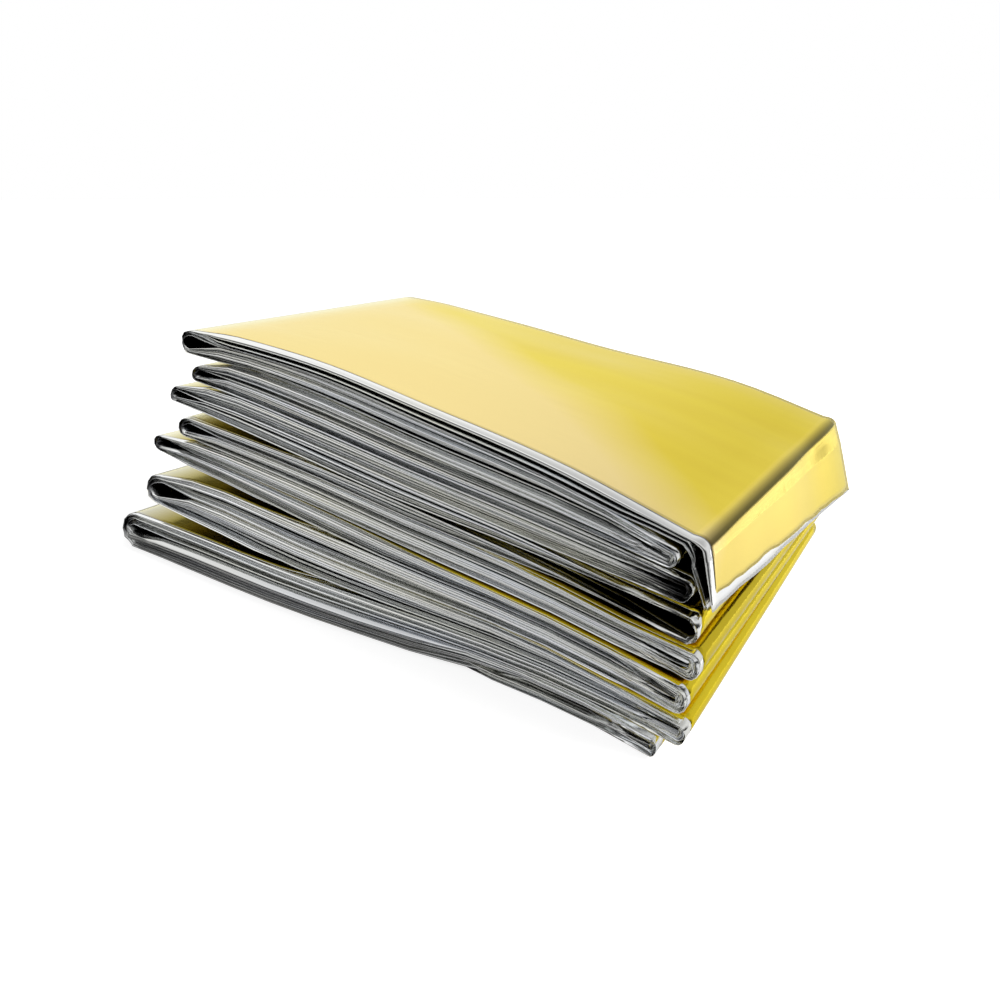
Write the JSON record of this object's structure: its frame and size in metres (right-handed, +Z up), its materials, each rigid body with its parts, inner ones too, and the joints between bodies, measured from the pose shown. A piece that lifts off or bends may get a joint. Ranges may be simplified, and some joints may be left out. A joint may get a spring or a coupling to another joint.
{
  "type": "emergency foil blanket",
  "caption": "Rescue blanket of gold and silver metallised film, pleated into a strip and folded to and fro into a loose stack, its end hanging over as a flap.",
  "frame": {"origin": "centre of the bounding box, on the floor under the stack", "axes": "+X along the stack's runs towards the end with the flap, +Y from the pleated front edge to the back, +Z up"},
  "size_m": [0.1578, 0.1003, 0.0529],
  "materials": {
    "film": "glossy metallised film, gold on one face and silver on the other"
  },
  "bodies": {
    "root": {"foil_blanket": "film"}
  },
  "joints": []
}
